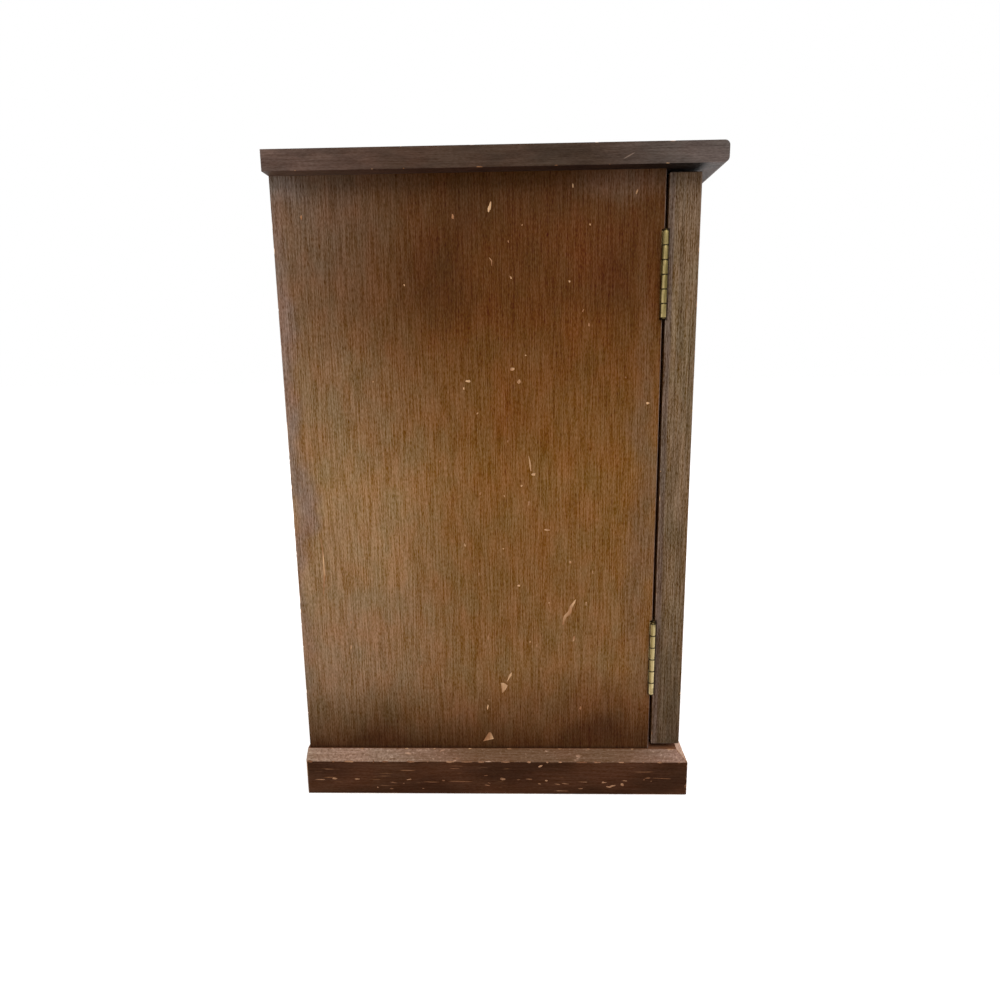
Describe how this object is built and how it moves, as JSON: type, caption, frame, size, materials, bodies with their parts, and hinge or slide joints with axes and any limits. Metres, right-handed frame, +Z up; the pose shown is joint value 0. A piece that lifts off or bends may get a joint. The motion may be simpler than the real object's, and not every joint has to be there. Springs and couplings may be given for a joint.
{
  "type": "tabletop cabinet with doors",
  "caption": "Tabletop cabinet with hinged doors, an overhanging top and a chamfered plinth, with a shelf inside.",
  "frame": {"origin": "on the surface that the cabinet stands on, in the middle of its width and of its depth over the knobs", "axes": "+Z up, the doors face -Y, +X to the right as seen from the front"},
  "size_m": [0.457, 0.2818, 0.4205],
  "materials": {
    "side_veneer": "worn satin stain on fine-grained veneer",
    "door_wood": "worn satin stain",
    "top_wood": "worn dark satin stain",
    "plinth_wood": "worn dark satin stain, scratched to pale wood",
    "inner_wood": "thin satin stain",
    "plywood": "bare plywood",
    "dowel_wood": "bare beech",
    "brass": "dulled brass",
    "steel": "zinc-plated steel",
    "catch_plastic": "brown moulded plastic",
    "magnet": "bare sintered magnet"
  },
  "bodies": {
    "carcass": {"top_board": "top_wood", "left_side": "side_veneer", "right_side": "side_veneer", "bottom_board": "inner_wood", "back_panel": "plywood", "top_front_rail": "inner_wood", "top_back_rail": "inner_wood", "shelf": "inner_wood", "shelf_pins": "brass", "plinth_front": "plinth_wood", "plinth_left": "plinth_wood", "plinth_right": "plinth_wood", "plinth_back": "plinth_wood", "case_dowels": "dowel_wood", "plinth_dowels": "dowel_wood", "top_screws": "steel", "plinth_screws": "steel", "back_nails": "steel", "left_upper_frame_leaf": "brass", "left_lower_frame_leaf": "brass", "right_upper_frame_leaf": "brass", "right_lower_frame_leaf": "brass", "left_upper_hinge_pin": "brass", "left_lower_hinge_pin": "brass", "right_upper_hinge_pin": "brass", "right_lower_hinge_pin": "brass", "hinge_frame_screws": "brass", "left_catch_housing": "catch_plastic", "right_catch_housing": "catch_plastic", "left_catch_magnet": "magnet", "right_catch_magnet": "magnet", "left_catch_poles": "steel", "right_catch_poles": "steel", "catch_screws": "steel"},
    "left_door": {"left_door": "door_wood", "left_upper_door_leaf": "brass", "left_lower_door_leaf": "brass", "left_door_hinge_screws": "brass", "left_knob": "brass", "left_knob_screw": "steel", "left_strike_plate": "steel", "left_strike_screw": "steel"},
    "right_door": {"right_door": "door_wood", "right_upper_door_leaf": "brass", "right_lower_door_leaf": "brass", "right_door_hinge_screws": "brass", "right_knob": "brass", "right_knob_screw": "steel", "right_strike_plate": "steel", "right_strike_screw": "steel"}
  },
  "joints": [
    {"name": "left_door_hinge", "type": "hinge", "parent": "carcass", "child": "left_door", "pos_m": [-0.2182, -0.09798, 0.05055], "axis": [0, 0, -1], "range_deg": [0, 180]},
    {"name": "right_door_hinge", "type": "hinge", "parent": "carcass", "child": "right_door", "pos_m": [0.2182, -0.09798, 0.05055], "axis": [0, 0, 1], "range_deg": [0, 180]}
  ]
}
